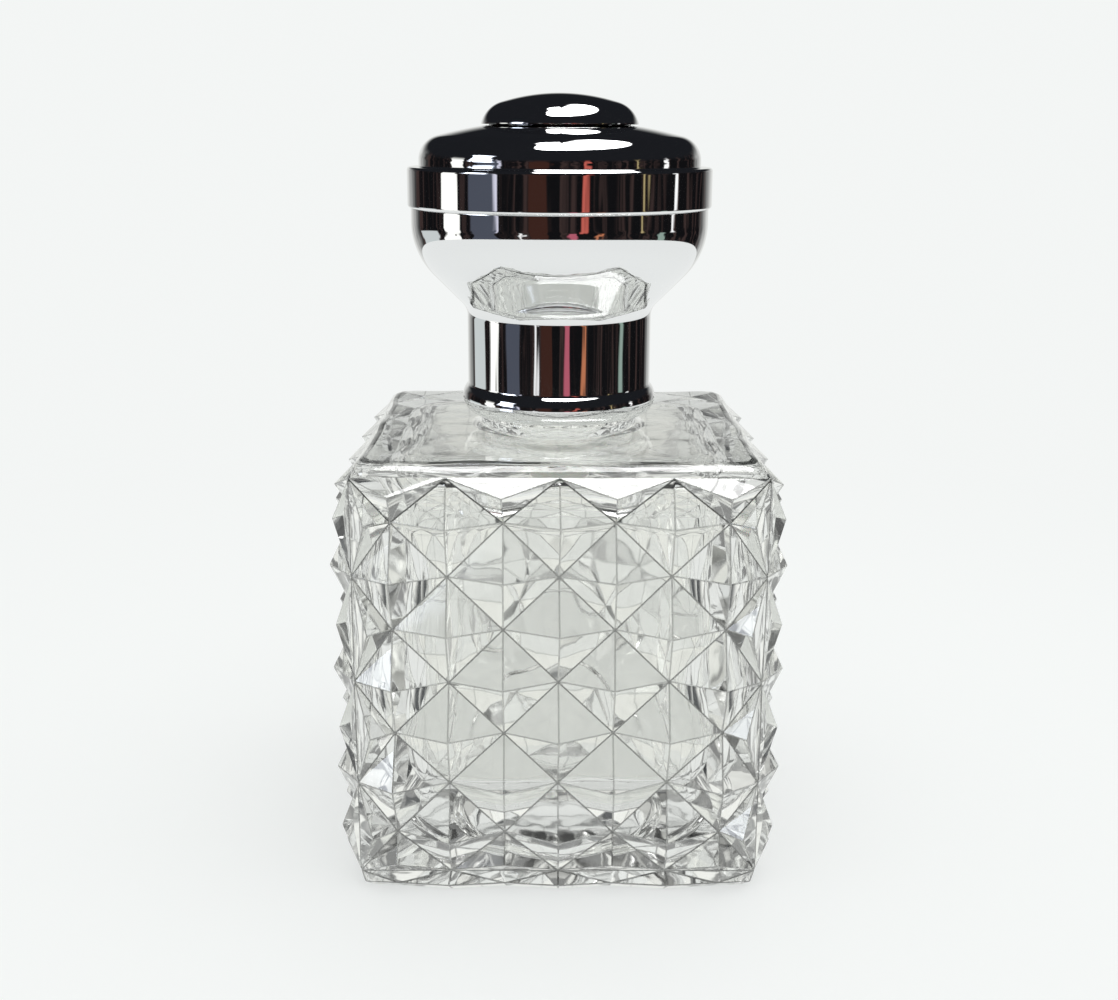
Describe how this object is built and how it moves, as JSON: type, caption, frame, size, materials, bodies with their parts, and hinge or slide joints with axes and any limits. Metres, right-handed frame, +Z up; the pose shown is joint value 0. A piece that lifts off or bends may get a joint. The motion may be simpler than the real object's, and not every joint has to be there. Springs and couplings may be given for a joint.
{
  "type": "aftershave bottle",
  "caption": "Square diamond-point glass bottle with a screw neck and pour insert, under a plated bowl-shaped screw cap with a domed knob.",
  "frame": {"origin": "centre of the base, on the surface the bottle stands on", "axes": "+Z up along the neck and cap; X and Y square to the bottle's four faces"},
  "size_m": [0.0714, 0.0714, 0.1238],
  "materials": {
    "clear_glass": "clear flint glass with pressed diamond points, smooth inside",
    "soft_plastic": "natural low-density polyethylene",
    "liner_film": "thin smooth facing film",
    "liner_foam": "white closed-cell foam",
    "white_plastic": "moulded white polypropylene",
    "plated_shell": "mirror plate",
    "plated_lid": "mirror plate",
    "plated_knob": "mirror plate",
    "washer_steel": "plain zinc-plated steel",
    "screw_steel": "plain zinc-plated steel"
  },
  "bodies": {
    "bottle": {"glass_bottle": "clear_glass", "orifice_reducer": "soft_plastic"},
    "liner": {"liner_face": "liner_film", "liner_wad": "liner_foam"},
    "washer": {"knob_washer": "washer_steel"},
    "cap": {"cap_bowl": "plated_shell", "cap_lid": "plated_lid", "cap_knob": "plated_knob", "knob_screw": "screw_steel", "threaded_closure": "white_plastic"}
  },
  "joints": [
    {"name": "cap_lift", "type": "slide", "parent": "bottle", "child": "liner", "axis": [0, 0, 1], "range_m": [0, 0.06]},
    {"name": "cap_rise", "type": "slide", "parent": "liner", "child": "washer", "axis": [0, 0, 1], "range_m": [0, 0.00317]},
    {"name": "cap_turn", "type": "hinge", "parent": "washer", "child": "cap", "pos_m": [0, 0, 0.0775], "axis": [0, 0, 1], "range_deg": [0, 360]}
  ],
  "couplings": [
    {"joint": "cap_rise", "follows": "cap_turn", "m_per_rad": 0.000505}
  ]
}
